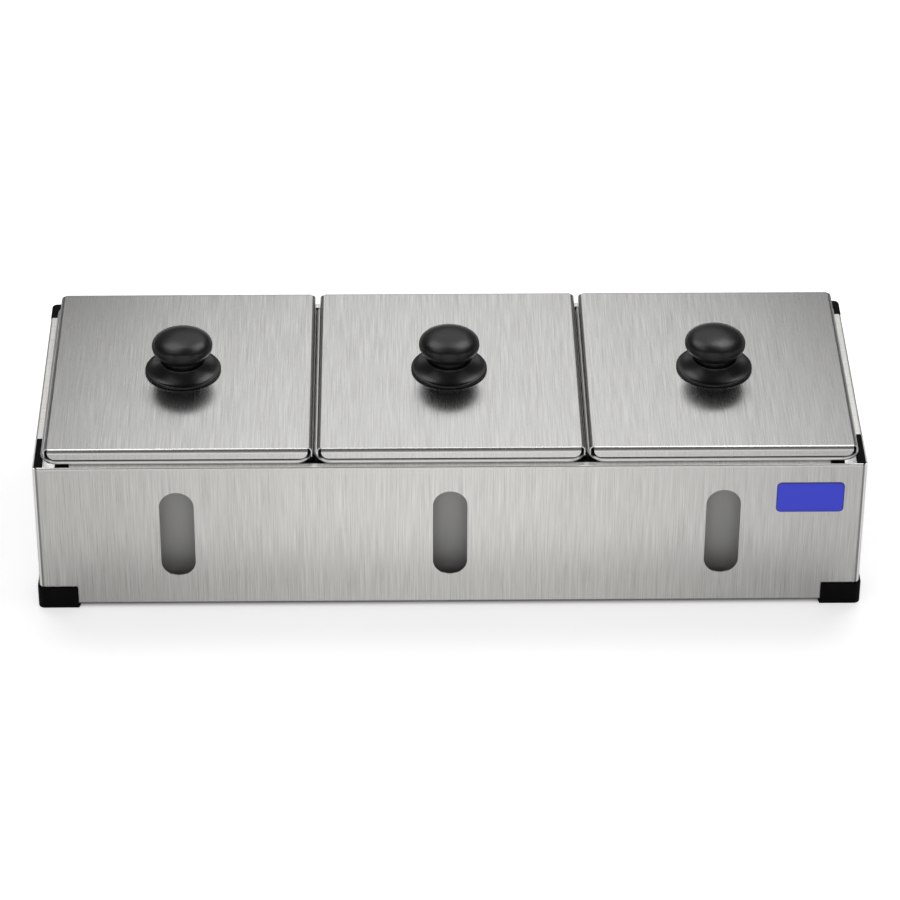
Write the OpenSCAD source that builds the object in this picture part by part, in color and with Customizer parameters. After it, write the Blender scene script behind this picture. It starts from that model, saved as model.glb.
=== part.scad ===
// Counter-top condiment caddy. A rack of folded sheet steel on four plastic
// feet holds three lift-out pans. Each pan has a loose lid of folded sheet
// with a moulded knob screwed to its middle.
// Origin: centre of the footprint, on the surface that the caddy stands on.
// The windows face -Y, +X is to the right and +Z is up. Millimetres.

/* [Pans] */
// Width of a pan's rim
rim_w = 162; // [130:1:200]
// Depth of a pan's rim, front to back
rim_d = 176; // [140:1:260]
// Gap between neighbouring rims
rim_gap = 0.3; // [0.3:0.1:3]
// Outer corner radius of the rim, seen from above
rim_corner_r = 11; // [6:0.5:16]
// Radius of the bead rolled under the rim's edge
bead_r = 1.4; // [1:0.1:1.8]
// Height of a pan from its underside to the top of its rim
pan_h = 100; // [70:1:160]
// Thickness of the pan's sheet
pan_sheet = 0.7; // [0.5:0.1:0.9]
// Width of the rim's flat, from its outer edge to the pan's wall
rim_flat = 8.5; // [7:0.5:12]
// How much further in the wall is at the pan's floor
wall_draft = 4; // [0:0.5:8]
// Upright corner radius of the pan's wall
wall_corner_r = 22; // [20:0.5:30]
// Radius between the pan's wall and its floor
floor_r = 16; // [8:0.5:18]

/* [Lids] */
// Distance from the rim's outer edge in to the lid's side skirts
lid_side_inset = 1.4; // [1:0.1:2]
// Distance from the rim's outer edge in to the lid's front and back flaps
lid_end_inset = 0.6; // [0.3:0.1:2]
// How far each loose lid sits to the right of its pan's middle, from the left one on
lid_slips = [0.8, 0.5, -0.1]; // [-0.9:0.1:0.9]
// Height of the lid's top above the rim
lid_rise = 6.9; // [6:0.1:14]
// Thickness of the lid's sheet
lid_sheet = 0.8; // [0.6:0.1:1.2]
// Outside radius of the lid's folded edges
lid_fold_r = 2.6; // [2:0.1:3.2]
// How much shorter the front and back flaps are than the side skirts
flap_short = 0.4; // [0:0.1:1.8]
// Radius of the flaps' lower corners
flap_corner_r = 4.5; // [1:0.1:5]

/* [Knobs] */
// Radius of the knob's flared base
base_r = 23.1; // [20:0.1:30]
// Height of the flared base
base_h = 7.6; // [6:0.1:10]
// Radius of the knob's cap
cap_r = 18.4; // [16:0.1:22]
// Height of the knob above the lid
knob_h = 25.3; // [22:0.1:32]
// Radius of the knob's stem
stem_r = 11.9; // [9:0.1:12.5]
// Radius of the knob's screw
screw_r = 2.5; // [2:0.1:3]

/* [Rack] */
// Thickness of the rack's sheet
sheet = 0.8; // [0.6:0.1:1.2]
// Gap between the rims and the rack's outside, at the two ends
side_play = 4.4; // [3:0.1:8]
// Gap between the rims and the rack's outside, at the front and back
end_play = 3.3; // [3:0.1:8]
// Clearance between a pan's floor and the surface below
floor_gap = 4.3; // [3:0.1:20]
// Height of the panels' lower edge above the surface below
ground_gap = 2.2; // [1.5:0.1:2.8]
// Outside radius of the folds along the panels' edges
fold_r = 1.5; // [1.3:0.1:2.5]
// Outside radius of the folds up the front corners
front_fold_r = 2.5; // [1.5:0.1:4]
// Outside radius of the folds up the back corners
back_fold_r = 3.4; // [1.5:0.1:4]
// How far the top flange reaches in past the middle of the pans' bead
flange_seat = 0.9; // [0.5:0.1:3]
// Width of the bottom flange
bottom_flange_w = 10; // [6:0.5:14]
// Length of the front panel's returns along the ends, and of the corner pieces in them
front_return_l = 32; // [27:0.5:45]
// Length of the back panel's returns along the ends, and of the corner caps on them
back_return_l = 15.7; // [12:0.1:22]

/* [Windows] */
// Distance between the windows' middles
window_pitch = 163.2; // [155:0.1:168]
// Width of a window
window_w = 20.6; // [10:0.1:40]
// Distance from the panel's top edge down to a window
window_top = 17.6; // [10:0.1:28]
// Distance from the panel's bottom edge up to a window
window_bottom = 20.7; // [12:0.1:28]

/* [Plastic corners] */
// Length of a foot's wings along the panels
foot_wing = 23.2; // [16:0.1:24]
// Height of a foot, from the surface below to the top of its wings
foot_h = 16.1; // [10:0.1:20]
// How far a foot stands proud of the panels
foot_proud = 1.3; // [0.9:0.1:2.5]
// Width of a foot's sole
sole_w = 6; // [4:0.1:12]
// Height of the top corner pieces
block_h = 14; // [8:0.5:20]
// Distance from the rack's ends to where the front top flange starts
flange_start = 21.9; // [17:0.1:30]
// Distance from the rack's ends in to the edge of the front corner pieces' ledges
ledge_edge = 5.8; // [5:0.1:6.2]
// Width of the tab that fills in beside the front top flange
tab_w = 8.2; // [3:0.1:9]

/* [Hidden] */
$fn = 64;

// clearances
seat_gap = 0.3;     // a pan above its flange, and a lid above its rim
lap_gap = 0.1;      // between sheets that lap, and between plastic and sheet
end_gap = 0.3;      // between the ends of two panels, and of a panel and a corner
thread_gap = 0.05;  // round the screw in its insert, and round the insert
over = 1;           // how far a cutter passes the face that it cuts

// overall sizes of the rack
pitch = rim_w + rim_gap;
rack_w = 2 * pitch + rim_w + 2 * side_play;
rack_d = rim_d + 2 * end_play;
rim_z = floor_gap + pan_h;
rack_top = rim_z - 2 * bead_r - seat_gap;
panel_h = rack_top - ground_gap;
end_flange_w = end_play + bead_r + flange_seat;
side_flange_w = side_play + bead_r + flange_seat;

// tongues of the end panels, which lie inside the returns
tongue_l = 11;
joggle_l = 3;
tongue_margin = 17;

// plastic corners
ledge_w = side_flange_w - 0.3;
front_ledge_w = end_flange_w - 0.3;
inner_wall_t = 1.6;
inner_wall_drop = 1;
sole_flare = 1.2;
low_arm_t = 2.5;
low_arm_drop = 3.5;
ledge_t = 1.8;
cap_plate_h = 1.5;

// pan sections
corner_steps = 7;
fillet_steps = 5;
fold_steps = 3;
bead_steps = 9;
wall_fold_r = 2;

// lids
lid_w = rim_w - 2 * lid_side_inset;
lid_d = rim_d - 2 * lid_end_inset;
lid_z = rim_z + lid_rise;
skirt_h = lid_rise - seat_gap;
flap_h = skirt_h - flap_short;

// knobs, measured up from the lid's top
screw_hole_r = screw_r + 0.2;
base_floor = 2.5;
base_edge_r = 0.9;
base_rim_w = 1.4;
base_rim_r = 0.6;
flare_power = 1.6;
stem_gap = 0.1;
dome_h = 7.8;
dome_power = 2.4;
bowl_h = 7.8;
bowl_inner_r = 7;
seam_angle = -15;
seam_depth = 0.25;
insert_wall = 1.25;
insert_z = base_floor + 0.4;
insert_l = 11;
thread_l = 9;
washer_r = 6;
washer_h = 1;
head_r = 4.75;
head_h = 3;
drive_w = 1.2;
drive_h = 1.4;

module steel() { color([0.74, 0.74, 0.73]) children(); }
module black_plastic() { color([0.05, 0.05, 0.05]) children(); }
module brass() { color([0.78, 0.62, 0.32]) children(); }

// Points along an arc, from angle a0 to a1, both ends included
function arc(c, r, a0, a1, n) =
    [for (k = [0:n]) let (a = a0 + (a1 - a0) * k / n) c + r * [cos(a), sin(a)]];

// ------------------------------------------------------------ folded sheet

// Cross-section of a folded edge with its outer corner at the origin: the wall
// runs down beside x = 0, and the flange runs in under y = 0
module fold_section(r, t, flange, wall) {
    intersection() {
        translate([r, -r]) difference() {
            circle(r);
            circle(r - t);
        }
        translate([0, -r]) square(r);
    }
    if (flange > r) translate([r, -t]) square([flange - r, t]);
    if (wall > r) translate([0, -wall]) square([t, wall - r]);
}

// A folded edge of length l along the X axis. Its wall faces -Y, and its
// flange runs towards +Y.
module fold_strip(l, r, t, flange, wall) {
    rotate([90, 0, 90]) linear_extrude(l, center = true) fold_section(r, t, flange, wall);
}

// What a fold of radius r takes off a square edge along the X axis
module fold_cutter(l, r) {
    difference() {
        translate([-l / 2, -over, -r]) cube([l, r + over, r + over]);
        translate([0, r, -r]) rotate([0, 90, 0]) cylinder(h = l + 2, r = r, center = true);
    }
}

// ------------------------------------------------------------ long panels

// Section of a front or back panel, seen from above, with its two returns
module panel_plan(r, return_l) {
    translate([-(rack_w / 2 - r), -rack_d / 2]) square([rack_w - 2 * r, sheet]);
    for (side = [0, 1]) mirror([side, 0]) {
        intersection() {
            translate([rack_w / 2 - r, -rack_d / 2 + r]) difference() {
                circle(r);
                circle(r - sheet);
            }
            translate([rack_w / 2 - r, -rack_d / 2]) square(r);
        }
        translate([rack_w / 2 - sheet, -rack_d / 2 + r]) square([sheet, return_l - r]);
    }
}

// A front or back panel: an upright wall with returns, folded in along its top
// from flange_x on and along its bottom between the feet
module long_panel(r, return_l, flange_x) {
    bottom_l = rack_w - 2 * (foot_wing + sole_flare + end_gap);
    difference() {
        translate([0, 0, ground_gap]) linear_extrude(panel_h) panel_plan(r, return_l);
        translate([0, -rack_d / 2, rack_top]) fold_cutter(rack_w + 2 * over, fold_r);
        translate([0, -rack_d / 2, ground_gap]) mirror([0, 0, 1])
            fold_cutter(bottom_l, fold_r);
    }
    translate([0, -rack_d / 2, rack_top])
        fold_strip(rack_w - 2 * r, fold_r, sheet, 0, 0);
    translate([0, -rack_d / 2, rack_top])
        fold_strip(rack_w - 2 * flange_x, fold_r, sheet, end_flange_w, 0);
    translate([0, -rack_d / 2, ground_gap]) mirror([0, 0, 1])
        fold_strip(bottom_l, fold_r, sheet, bottom_flange_w, 0);
}

// A window with round ends, cut through the front panel at x = 0
module window() {
    run = panel_h - window_top - window_bottom - window_w;
    translate([0, -rack_d / 2 + sheet / 2, ground_gap + window_bottom + window_w / 2])
        rotate([90, 0, 0]) linear_extrude(sheet + 2 * over, center = true) {
            circle(window_w / 2);
            translate([-window_w / 2, 0]) square([window_w, run]);
            translate([0, run]) circle(window_w / 2);
        }
}

module front_panel() {
    steel() difference() {
        long_panel(front_fold_r, front_return_l, flange_start);
        for (i = [-1:1]) translate([i * window_pitch, 0, 0]) window();
    }
}

// The back panel is lower at its corners, where the caps cover its edge
module back_panel() {
    cut_l = back_return_l + end_gap;
    steel() mirror([0, 1, 0]) difference() {
        long_panel(back_fold_r, back_return_l, cut_l);
        for (side = [0, 1]) mirror([side, 0, 0])
            translate([rack_w / 2 - cut_l, -rack_d / 2 - over,
                       rack_top - cap_plate_h - lap_gap])
                cube([cut_l + over, cut_l + over, cap_plate_h + over]);
    }
}

// ------------------------------------------------------------ end panels

// The tongue at one end of an end panel, stepped in behind a return. The
// panel's outer face is at x = 0 and its edge at y = 0.
module tongue() {
    step_in = sheet + lap_gap;
    linear_extrude(panel_h - 2 * tongue_margin)
        polygon([[0, -joggle_l], [-step_in, 0], [-step_in, tongue_l],
                 [-step_in - sheet, tongue_l], [-step_in - sheet, 0], [-sheet, -joggle_l]]);
}

// A strip along the right end of the rack, from y0 to y1
module end_strip(y0, y1, flange) {
    translate([rack_w / 2, (y0 + y1) / 2, 0]) rotate([0, 0, 90])
        fold_strip(y1 - y0, fold_r, sheet, flange, 0);
}

module right_side_panel() {
    y0 = -rack_d / 2 + front_return_l + end_gap;
    y1 = rack_d / 2 - back_return_l - end_gap;
    y1_bottom = rack_d / 2 - foot_wing - sole_flare - end_gap;
    tongue_z = ground_gap + tongue_margin;
    steel() {
        difference() {
            translate([rack_w / 2 - sheet, y0, ground_gap])
                cube([sheet, y1 - y0, panel_h - fold_r]);
            translate([rack_w / 2, (y0 + y1_bottom) / 2, ground_gap])
                mirror([0, 0, 1]) rotate([0, 0, 90])
                fold_cutter(y1_bottom - y0, fold_r);
            for (y = [y0 - over, y1 - joggle_l])
                translate([rack_w / 2 - sheet - over, y, tongue_z])
                    cube([sheet + 2 * over, joggle_l + over, panel_h - 2 * tongue_margin]);
        }
        translate([rack_w / 2, y1, tongue_z]) tongue();
        translate([rack_w / 2, y0, tongue_z]) mirror([0, 1, 0]) tongue();
        translate([0, 0, rack_top]) end_strip(y0, y1, side_flange_w);
        translate([0, 0, ground_gap]) mirror([0, 0, 1])
            end_strip(y0, y1_bottom, bottom_flange_w);
    }
}

module left_side_panel() { mirror([1, 0, 0]) right_side_panel(); }

// ------------------------------------------------------------ plastic corners

// Draws its children at a corner of the rack. They are drawn for the front
// left one, with the panels' outer faces on the X and Y axes.
module at_corner(right, back) {
    mirror([right, 0, 0]) mirror([0, back, 0])
        translate([-rack_w / 2, -rack_d / 2, 0]) children();
}

// A rectangle from (u, u) to (lx, ly), its first corner rounded to r
module corner_block(u, lx, ly, r) {
    if (r > 0) {
        translate([u + r, u + r]) circle(r);
        translate([u + r, u]) square([lx - u - r, ly - u]);
        translate([u, u + r]) square([lx - u, ly - u - r]);
    } else {
        translate([u, u]) square([lx - u, ly - u]);
    }
}

// A band round a corner, from distance u0 to u1 in from the panels' outer
// faces, whose fold has an outside radius of r
module corner_band(u0, u1, lx, ly, r) {
    difference() {
        corner_block(u0, lx, ly, r - u0);
        corner_block(u1, lx + over, ly + over, r - u1);
    }
}

// The flared end of a sole, on the wing that runs along X
module sole_end(h) {
    translate([0, sole_w, 0]) rotate([90, 0, 0]) linear_extrude(sole_w + foot_proud)
        polygon([[foot_wing - over, 0], [foot_wing, 0], [foot_wing + sole_flare, h],
                 [foot_wing - over, h]]);
}

// A foot wraps the bottom corner, inside and out, and has a flat sole
module foot(right, back) {
    r = back == 1 ? back_fold_r : front_fold_r;
    sole_h = ground_gap - lap_gap;
    inner = sheet + lap_gap;
    black_plastic() at_corner(right, back) {
        linear_extrude(foot_h)
            corner_band(-foot_proud, -lap_gap, foot_wing, foot_wing, r);
        linear_extrude(sole_h)
            corner_band(-foot_proud, sole_w, foot_wing, foot_wing, r);
        linear_extrude(foot_h - inner_wall_drop)
            corner_band(inner, inner + inner_wall_t, foot_wing, foot_wing, r);
        sole_end(sole_h);
        multmatrix([[0, 1, 0, 0], [1, 0, 0, 0], [0, 0, 1, 0], [0, 0, 0, 1]])
            sole_end(sole_h);
    }
}

// The part of a front corner piece's arm along the end that is inside the
// panel's folds, out to distance x1 from the rack's end
module end_arm(x1) {
    intersection() {
        corner_block(sheet + lap_gap, x1, front_return_l, front_fold_r - sheet - lap_gap);
        translate([0, fold_r + lap_gap]) square([x1, front_return_l]);
    }
}

// A front corner piece, inside the sheet. Its wall lies low along the front.
// Along the end it stands up to a thin ledge under the rim. A tab fills in
// beside the front flange.
module front_corner(right) {
    u = sheet + lap_gap;
    z0 = rack_top - block_h;
    tab_x = flange_start - end_gap;
    black_plastic() at_corner(right, 0) {
        translate([0, 0, z0]) {
            linear_extrude(block_h - low_arm_drop)
                corner_band(u, u + low_arm_t, tab_x, front_return_l, front_fold_r);
            linear_extrude(block_h - lap_gap) {
                end_arm(u + low_arm_t);
                translate([tab_x - tab_w, fold_r + lap_gap])
                    square([tab_w, front_ledge_w - fold_r - lap_gap]);
            }
        }
        translate([0, 0, rack_top - lap_gap - ledge_t]) linear_extrude(ledge_t)
            end_arm(ledge_edge);
    }
}

// A back corner cap: a plate over the sheet's edge, with a block under it
module back_corner(right) {
    u = sheet + lap_gap;
    black_plastic() at_corner(right, 1) {
        translate([0, 0, rack_top - cap_plate_h]) linear_extrude(cap_plate_h)
            corner_band(0, ledge_w, back_return_l, back_return_l, back_fold_r);
        translate([0, 0, rack_top - block_h]) linear_extrude(block_h)
            corner_band(u, ledge_w, back_return_l, back_return_l, back_fold_r);
    }
}

// ------------------------------------------------------------ pans

// One level of a pan: a rectangle with round corners, at a distance in from
// the rim's outer edge
function level(inset, r, z) =
    [for (q = [0:3], k = [0:corner_steps])
        let (a = 90 * q + 90 * k / corner_steps,
             cx = (rim_w / 2 - inset - r) * (q == 0 || q == 3 ? 1 : -1),
             cy = (rim_d / 2 - inset - r) * (q < 2 ? 1 : -1))
        [cx + r * cos(a), cy + r * sin(a), z]];

// How far in the outside of the wall is at height z below the rim
function wall_inset(z) = rim_flat + wall_draft * -z / pan_h;

// The levels of one skin, up from the floor: the floor's edge, the fillet,
// the wall and the fold out to the rim. d is how far the skin is inside the
// outer one.
function floor_levels(d) =
    let (cz = floor_r - pan_h, ci = wall_inset(cz) + floor_r)
    [for (k = [0:fillet_steps])
        let (a = 90 * k / fillet_steps, e = (floor_r - d) * sin(a))
        level(ci - e, wall_corner_r - floor_r + e, cz - (floor_r - d) * cos(a))];

function fold_levels(d) =
    let (ci = wall_inset(-wall_fold_r) - wall_fold_r, cz = -wall_fold_r - pan_sheet)
    [for (k = [0:fold_steps])
        let (a = 90 * k / fold_steps, e = (wall_fold_r + d) * cos(a))
        level(ci + e, wall_corner_r + wall_fold_r - e, cz + (wall_fold_r + d) * sin(a))];

// The bead, from under the flat, round its outside and up to its top
function bead_levels() =
    let (a0 = asin((bead_r - pan_sheet) / bead_r))
    [for (k = [0:bead_steps])
        let (a = a0 - (270 + a0) * k / bead_steps, i = bead_r + bead_r * cos(a))
        level(i, rim_corner_r - i, -bead_r + bead_r * sin(a))];

function reversed(v) = [for (k = [len(v) - 1:-1:0]) v[k]];

// The whole pan as one closed skin through its levels
module pan(i) {
    levels = concat(floor_levels(0), fold_levels(0), bead_levels(),
                    reversed(fold_levels(pan_sheet)), reversed(floor_levels(pan_sheet)));
    n = 4 * (corner_steps + 1);
    last = len(levels) - 1;
    points = [for (v = levels) for (p = v) p];
    sides = [for (j = [0:last - 1], k = [0:n - 1])
        let (a = j * n + k, b = j * n + (k + 1) % n)
        each [[a, a + n, b], [b, a + n, b + n]]];
    under = [for (k = [0:n - 1]) k];
    inside = [for (k = [n - 1:-1:0]) last * n + k];
    steel() translate([i * pitch, 0, rim_z])
        polyhedron(points, concat([under], sides, [inside]), convexity = 6);
}

// ------------------------------------------------------------ lids

// Places its children at lid i, with the middle of the lid's top at the origin
module at_lid(i) {
    translate([i * pitch + lid_slips[i + 1], 0, lid_z]) children();
}

// What rounds a flap's lower corner, at the origin, on the flap's left
module flap_corner_cutter() {
    difference() {
        translate([-over, -over, -over])
            cube([flap_corner_r + over, lid_fold_r + 2 * over, flap_corner_r + over]);
        translate([flap_corner_r, 0, flap_corner_r]) rotate([90, 0, 0])
            cylinder(h = 4 * lid_fold_r + 4, r = flap_corner_r, center = true);
    }
}

// A lid: one sheet with four folded edges, open at its corners. The side
// skirts stand on the rim and the flaps end above it.
module lid(i) {
    top_w = lid_w - 2 * lid_fold_r;
    top_d = lid_d - 2 * lid_fold_r;
    steel() at_lid(i) {
        difference() {
            translate([-top_w / 2, -top_d / 2, -lid_sheet]) cube([top_w, top_d, lid_sheet]);
            cylinder(h = 4 * lid_sheet, r = screw_hole_r, center = true);
        }
        for (side = [-1, 1]) rotate([0, 0, 90 * side]) translate([0, -lid_w / 2, 0])
            fold_strip(top_d, lid_fold_r, lid_sheet, 0, skirt_h);
        for (end = [0, 1]) rotate([0, 0, 180 * end]) translate([0, -lid_d / 2, 0])
            difference() {
                fold_strip(top_w, lid_fold_r, lid_sheet, 0, flap_h);
                for (side = [0, 1]) mirror([side, 0, 0])
                    translate([-top_w / 2, 0, -flap_h]) flap_corner_cutter();
            }
    }
}

// ------------------------------------------------------------ knobs

// The flared base, with a socket for the cap's stem
module knob_base(i) {
    socket_r = stem_r + stem_gap;
    flare_r = socket_r + base_rim_w + base_rim_r;
    lip_h = 2 * base_edge_r;
    flare_h = base_h - base_rim_r - lip_h;
    flare = [for (k = [1:12]) let (t = k / 12)
        [base_r - base_edge_r + (flare_r - base_r + base_edge_r) * t,
         lip_h + flare_h * pow(t, flare_power)]];
    black_plastic() at_lid(i) rotate_extrude($fn = 96)
        polygon(concat(
            [[screw_hole_r, 0]],
            arc([base_r - base_edge_r, base_edge_r], base_edge_r, -90, 90, 8),
            flare,
            arc([flare_r - base_rim_r, base_h - base_rim_r], base_rim_r, 20, 90, 4),
            [[socket_r, base_h], [socket_r, base_floor], [screw_hole_r, base_floor]]));
}

// The cap: a flattened dome over a bowl, with the mould's seam round it, on a
// stem that holds the threaded insert
module knob_cap(i) {
    mid_z = knob_h - dome_h;
    bowl_w = cap_r - bowl_inner_r;
    stem_angle = -acos((stem_r - bowl_inner_r) / bowl_w);
    bowl = [for (k = [0:8]) let (a = stem_angle + (seam_angle - stem_angle) * k / 8)
        [bowl_inner_r + bowl_w * cos(a) - seam_depth * k / 8, mid_z + bowl_h * sin(a)]];
    side = [for (k = [0:3]) let (a = seam_angle * (1 - k / 4))
        [bowl_inner_r + bowl_w * cos(a), mid_z + bowl_h * sin(a)]];
    dome = [for (k = [0:14]) let (a = 90 * k / 14)
        [cap_r * pow(cos(a), 2 / dome_power), mid_z + dome_h * pow(sin(a), 2 / dome_power)]];
    pocket_r = screw_r + insert_wall + thread_gap;
    black_plastic() at_lid(i) difference() {
        rotate_extrude($fn = 96) polygon(concat(
            [[0, base_floor + stem_gap], [stem_r, base_floor + stem_gap]],
            bowl, side, dome));
        cylinder(h = insert_z + insert_l, r = pocket_r);
    }
}

// The brass insert moulded into the cap's stem
module knob_insert(i) {
    brass() at_lid(i) translate([0, 0, insert_z]) difference() {
        cylinder(h = insert_l, r = screw_r + insert_wall);
        translate([0, 0, -over])
            cylinder(h = insert_l + 2 * over, r = screw_r + thread_gap);
    }
}

// The screw up through the lid, with a slotted head under its washer
module knob_screw(i) {
    head_z = -lid_sheet - washer_h - head_h;
    steel() at_lid(i) translate([0, 0, head_z]) {
        difference() {
            cylinder(h = head_h, r = head_r);
            translate([-head_r - over, -drive_w / 2, -over])
                cube([2 * (head_r + over), drive_w, drive_h + over]);
        }
        cylinder(h = insert_z + thread_l - head_z, r = screw_r);
    }
}

module knob_washer(i) {
    steel() at_lid(i) translate([0, 0, -lid_sheet - washer_h]) difference() {
        cylinder(h = washer_h, r = washer_r);
        translate([0, 0, -over]) cylinder(h = washer_h + 2 * over, r = screw_hole_r);
    }
}

// ------------------------------------------------------------ nodes

front_panel();
back_panel();
left_side_panel();
right_side_panel();
foot(0, 0);  // foot_front_left
foot(1, 0);  // foot_front_right
foot(0, 1);  // foot_back_left
foot(1, 1);  // foot_back_right
front_corner(0);  // corner_front_left
front_corner(1);  // corner_front_right
back_corner(0);  // corner_back_left
back_corner(1);  // corner_back_right
pan(-1);  // pan_left
pan(0);  // pan_middle
pan(1);  // pan_right
lid(-1);  // lid_left
lid(0);  // lid_middle
lid(1);  // lid_right
knob_base(-1);  // knob_base_left
knob_base(0);  // knob_base_middle
knob_base(1);  // knob_base_right
knob_cap(-1);  // knob_cap_left
knob_cap(0);  // knob_cap_middle
knob_cap(1);  // knob_cap_right
knob_insert(-1);  // knob_insert_left
knob_insert(0);  // knob_insert_middle
knob_insert(1);  // knob_insert_right
knob_screw(-1);  // knob_screw_left
knob_screw(0);  // knob_screw_middle
knob_screw(1);  // knob_screw_right
knob_washer(-1);  // knob_washer_left
knob_washer(0);  // knob_washer_middle
knob_washer(1);  // knob_washer_right
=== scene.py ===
"""Looks of a counter-top condiment caddy with three pans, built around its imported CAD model."""

import logging
import math
from dataclasses import dataclass, field
from enum import Enum
from typing import Iterable, Sequence

import bmesh
import bpy
import numpy as np
from mathutils import Matrix, Vector


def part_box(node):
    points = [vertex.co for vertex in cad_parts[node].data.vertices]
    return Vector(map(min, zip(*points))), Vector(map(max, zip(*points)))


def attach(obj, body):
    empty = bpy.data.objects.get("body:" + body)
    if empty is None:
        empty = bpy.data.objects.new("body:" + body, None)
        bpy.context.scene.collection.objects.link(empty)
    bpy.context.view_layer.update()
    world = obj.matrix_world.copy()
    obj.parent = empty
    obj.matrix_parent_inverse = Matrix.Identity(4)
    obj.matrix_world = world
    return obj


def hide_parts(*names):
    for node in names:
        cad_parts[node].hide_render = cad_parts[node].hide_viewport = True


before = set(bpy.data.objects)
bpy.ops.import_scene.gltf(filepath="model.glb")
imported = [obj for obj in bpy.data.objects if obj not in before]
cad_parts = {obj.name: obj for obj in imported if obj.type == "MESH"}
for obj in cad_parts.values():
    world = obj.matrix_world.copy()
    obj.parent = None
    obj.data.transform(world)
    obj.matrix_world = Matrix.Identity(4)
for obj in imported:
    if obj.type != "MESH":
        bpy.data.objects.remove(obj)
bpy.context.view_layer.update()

LOG = logging.getLogger("caddy")
MM = 0.001
SIDES = ("left", "middle", "right")
CORNERS = ("front_left", "front_right", "back_left", "back_right")
GRAIN_MAP = "grain"
OUTSIDE = "outside"
LEVEL_GAP = 0.05 * MM
MERGE_GAP = 0.002 * MM
KEPT_SHARP = 50
FLAT_WEIGHT = 80
ALONG_GRAIN = 0.8
NOISE_RANGE = (0.3, 0.7)


# ---------------------------------------------------------------- node trees


class Graph:
    """Adds nodes to one node tree and joins them."""

    def __init__(self, tree: bpy.types.NodeTree) -> None:
        """Keeps the tree.

        Args:
            tree: the node tree to add to.
        """
        self.tree = tree

    def add(self, kind: str, values: dict | None = None, **settings: object) -> bpy.types.Node:
        """Adds one node.

        Args:
            kind: the node's type name.
            values: constants or sockets for inputs, by input name or number.
            settings: properties of the node itself.

        Returns:
            The new node.
        """
        made = self.tree.nodes.new(kind)
        for name, value in settings.items():
            setattr(made, name, value)
        for key, value in (values or {}).items():
            self.put(made.inputs[key], value)
        return made

    def put(self, socket: bpy.types.NodeSocket, value: object) -> None:
        """Joins a socket to an output, or gives it a constant.

        Args:
            socket: the input.
            value: an output socket, or a number, colour or vector.
        """
        if isinstance(value, bpy.types.NodeSocket):
            self.tree.links.new(value, socket)
        else:
            socket.default_value = value

    def math(self, op: str, *values: object) -> bpy.types.NodeSocket:
        """A maths node of the tree.

        Args:
            op: the operation.
            values: its operands, constants or sockets.

        Returns:
            The result.
        """
        return self.add("ShaderNodeMath", dict(enumerate(values)), operation=op).outputs[0]

    def ramp(self, value: object, low: float, high: float, out_low: float, out_high: float,
             smooth: bool = True) -> bpy.types.NodeSocket:
        """Maps a value from one range to another, and holds it at the ends.

        Args:
            value: the socket to map.
            low: where the input range starts.
            high: where the input range ends.
            out_low: the result at low.
            out_high: the result at high.
            smooth: eased at both ends, and not straight.

        Returns:
            The mapped value.
        """
        node = self.add("ShaderNodeMapRange", {0: value, 1: low, 2: high, 3: out_low, 4: out_high},
                        interpolation_type="SMOOTHSTEP" if smooth else "LINEAR")
        return node.outputs[0]

    def scale(self, colour: bpy.types.NodeSocket, level: bpy.types.NodeSocket) -> bpy.types.NodeSocket:
        """Makes a colour lighter or darker.

        Args:
            colour: the colour.
            level: what it is multiplied by.

        Returns:
            The new colour.
        """
        return self.add("ShaderNodeVectorMath", {0: colour, "Scale": level}, operation="SCALE").outputs[0]

    def noise(self, place: bpy.types.NodeSocket, scale: float | tuple[float, float, float],
              detail: float = 2.0) -> bpy.types.NodeSocket:
        """A noise, even or drawn out.

        Args:
            place: the place where it is read.
            scale: how often it changes in a metre, every way or along each axis.
            detail: how many finer layers it has.

        Returns:
            The noise, about one half.
        """
        if isinstance(scale, tuple):
            place = self.add("ShaderNodeMapping", {"Vector": place, "Scale": scale}).outputs[0]
            scale = 1.0
        made = self.add("ShaderNodeTexNoise", {"Vector": place, "Scale": scale, "Detail": detail})
        return made.outputs["Fac"]


# ---------------------------------------------------------------- finishes


class Grain(Enum):
    """Which way a brushed sheet's grain runs, with the way it takes where the sheet is folded across it."""

    DEPTH = ((0, 1, 0), (0, 0, 1))
    UPRIGHT_FRONT = ((0, 0, 1), (0, 1, 0))
    UPRIGHT_END = ((0, 0, 1), (1, 0, 0))


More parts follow.
